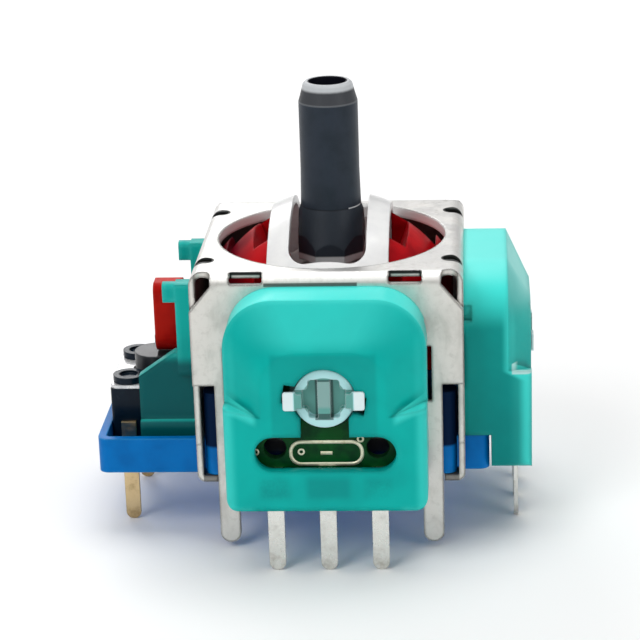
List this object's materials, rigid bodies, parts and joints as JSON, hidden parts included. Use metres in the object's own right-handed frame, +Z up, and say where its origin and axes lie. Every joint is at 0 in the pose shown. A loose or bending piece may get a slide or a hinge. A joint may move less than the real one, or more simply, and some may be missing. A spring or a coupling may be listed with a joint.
{
  "type": "analog stick module",
  "caption": "Analog stick module: a steel cage with crossed gimbal arms under a lipped hole, a bare lever, a sensor on two sides and a push switch worked by pressing the lever down.",
  "frame": {"origin": "on the lever's axis at the base's underside, which rests on the circuit board", "axes": "+Z up along the lever, +X towards the side potentiometer, -Y towards the front potentiometer"},
  "size_m": [0.0216, 0.0169, 0.0219],
  "materials": {
    "cage_steel": "pale nickel plate, light scratches",
    "blue_plastic": "satin moulding",
    "white_plastic": "smooth moulding",
    "red_plastic": "glossy moulding",
    "slate_plastic": "satin moulding",
    "pin_steel": "ground pin and spring wire",
    "holder_plastic": "smooth moulding",
    "black_plastic": "glossy moulding",
    "switch_steel": "thin bright sheet",
    "button_plastic": "smooth moulding",
    "bronze": "tarnished leaf",
    "teal_plastic": "satin moulding, slightly translucent",
    "board_green": "coated laminate",
    "rotor_plastic": "pale translucent moulding",
    "terminal_nickel": "plated strip"
  },
  "bodies": {
    "frame": {"cage": "cage_steel", "base": "blue_plastic", "return_spring": "pin_steel", "switch_body": "black_plastic", "switch_cover": "switch_steel", "switch_dome": "switch_steel", "switch_terminal_front": "bronze", "switch_terminal_back": "bronze", "switch_guide": "teal_plastic", "front_housing": "teal_plastic", "front_board": "board_green", "front_terminal_1": "terminal_nickel", "front_terminal_2": "terminal_nickel", "front_terminal_3": "terminal_nickel", "side_housing": "teal_plastic", "side_board": "board_green", "side_terminal_1": "terminal_nickel", "side_terminal_2": "terminal_nickel", "side_terminal_3": "terminal_nickel"},
    "side_drive": {"side_rotor": "rotor_plastic", "side_wiper": "bronze"},
    "lower_gimbal": {"lower_arm": "red_plastic", "lever_pin": "pin_steel"},
    "stick": {"lever": "slate_plastic"},
    "upper_gimbal": {"upper_arm": "white_plastic", "front_rotor": "rotor_plastic", "front_wiper": "bronze"},
    "plunger": {"switch_button": "button_plastic"},
    "spring_cup": {"spring_holder": "holder_plastic"}
  },
  "joints": [
    {"name": "tilt_forward", "type": "hinge", "parent": "frame", "child": "side_drive", "pos_m": [0.0082, 0, 0.0056], "axis": [1, 0, 0], "range_deg": [-20, 20], "stiffness_Nm_per_rad": 0.01},
    {"name": "press_down", "type": "hinge", "parent": "side_drive", "child": "lower_gimbal", "pos_m": [0.0072, 0, 0.0056], "axis": [0, -1, 0], "range_deg": [0, 0.92], "stiffness_Nm_per_rad": 0.2, "springref_deg": -0.06},
    {"name": "tilt_sideways", "type": "hinge", "parent": "lower_gimbal", "child": "stick", "pos_m": [0, 0, 0.0056], "axis": [0, 1, 0], "range_deg": [-20, 20], "stiffness_Nm_per_rad": 0.01},
    {"name": "upper_arm_turn", "type": "hinge", "parent": "frame", "child": "upper_gimbal", "pos_m": [0, 0, 0.0056], "axis": [0, 1, 0], "range_deg": [-20.5, 20.5]},
    {"name": "plunger_slide", "type": "slide", "parent": "frame", "child": "plunger", "axis": [0, 0, -1], "range_m": [0, 0.00026]},
    {"name": "spring_slide", "type": "slide", "parent": "frame", "child": "spring_cup", "axis": [0, 0, -1], "range_m": [0, 0.00012], "deforming": ["return_spring"]}
  ],
  "couplings": [
    {"joint": "upper_arm_turn", "follows": "tilt_sideways", "ratio": 1},
    {"joint": "plunger_slide", "follows": "press_down", "m_per_rad": 0.0161},
    {"joint": "spring_slide", "follows": "press_down", "m_per_rad": 0.0072}
  ]
}
